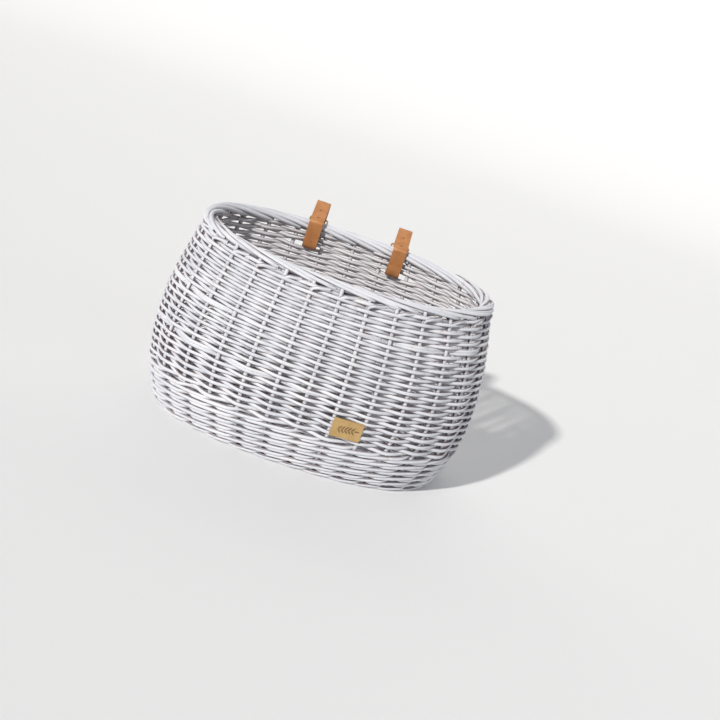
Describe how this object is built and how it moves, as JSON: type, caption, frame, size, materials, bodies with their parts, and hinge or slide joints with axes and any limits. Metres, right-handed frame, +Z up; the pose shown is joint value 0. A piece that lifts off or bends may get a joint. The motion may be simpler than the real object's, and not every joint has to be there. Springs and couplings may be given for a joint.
{
  "type": "handlebar basket",
  "caption": "Wide round-bellied wicker basket, open on top, with a border and leather straps with buckles that hang it from a bicycle's handlebar.",
  "frame": {"origin": "middle of the base's underside", "axes": "+X along the basket's width, +Y towards the handlebar and the rider, +Z up"},
  "size_m": [0.4565, 0.3128, 0.2933],
  "materials": {
    "painted_willow": "white paint, satin, worn thin",
    "bare_sticks": "white paint, satin",
    "strap_leather": "tan, smooth",
    "label_leather": "tan, matt",
    "brass_fittings": "polished"
  },
  "bodies": {
    "basket": {"upsett_wale": "painted_willow", "lower_weave": "painted_willow", "upper_weave": "painted_willow", "border": "painted_willow", "base_weave": "painted_willow", "base_long_sticks": "bare_sticks", "base_short_sticks": "bare_sticks", "front_stakes": "bare_sticks", "back_stakes": "bare_sticks", "left_end_stakes": "bare_sticks", "right_end_stakes": "bare_sticks", "label": "label_leather"},
    "left_strap_loop": {"left_strap": "strap_leather", "left_strap_rivet": "brass_fittings"},
    "left_frame": {"left_buckle_frame": "brass_fittings"},
    "left_prong": {"left_buckle_prong": "brass_fittings"},
    "left_keeper_ring": {"left_keeper": "strap_leather"},
    "right_strap_loop": {"right_strap": "strap_leather", "right_strap_rivet": "brass_fittings"},
    "right_frame": {"right_buckle_frame": "brass_fittings"},
    "right_prong": {"right_buckle_prong": "brass_fittings"},
    "right_keeper_ring": {"right_keeper": "strap_leather"}
  },
  "joints": [
    {"name": "left_strap_slide", "type": "slide", "parent": "basket", "child": "left_strap_loop", "axis": [1, 0, 0], "range_m": [-0.003, 0.003]},
    {"name": "left_buckle_tilt", "type": "hinge", "parent": "left_strap_loop", "child": "left_frame", "pos_m": [-0.0625, 0.14328, 0.25559], "axis": [-1, 0, 0], "range_deg": [0, 4]},
    {"name": "left_prong_lift", "type": "hinge", "parent": "left_strap_loop", "child": "left_prong", "pos_m": [-0.0625, 0.14328, 0.25559], "axis": [-1, 0, 0], "range_deg": [0, 4]},
    {"name": "left_keeper_slide", "type": "slide", "parent": "left_strap_loop", "child": "left_keeper_ring", "axis": [0, -0.5, -0.866], "range_m": [-0.0012, 0.0012]},
    {"name": "right_strap_slide", "type": "slide", "parent": "basket", "child": "right_strap_loop", "axis": [1, 0, 0], "range_m": [-0.003, 0.003]},
    {"name": "right_buckle_tilt", "type": "hinge", "parent": "right_strap_loop", "child": "right_frame", "pos_m": [0.0625, 0.14328, 0.25559], "axis": [-1, 0, 0], "range_deg": [0, 4]},
    {"name": "right_prong_lift", "type": "hinge", "parent": "right_strap_loop", "child": "right_prong", "pos_m": [0.0625, 0.14328, 0.25559], "axis": [-1, 0, 0], "range_deg": [0, 4]},
    {"name": "right_keeper_slide", "type": "slide", "parent": "right_strap_loop", "child": "right_keeper_ring", "axis": [0, -0.5, -0.866], "range_m": [-0.0012, 0.0012]}
  ],
  "couplings": [
    {"joint": "left_prong_lift", "follows": "left_buckle_tilt", "ratio": 1},
    {"joint": "right_prong_lift", "follows": "right_buckle_tilt", "ratio": 1}
  ]
}
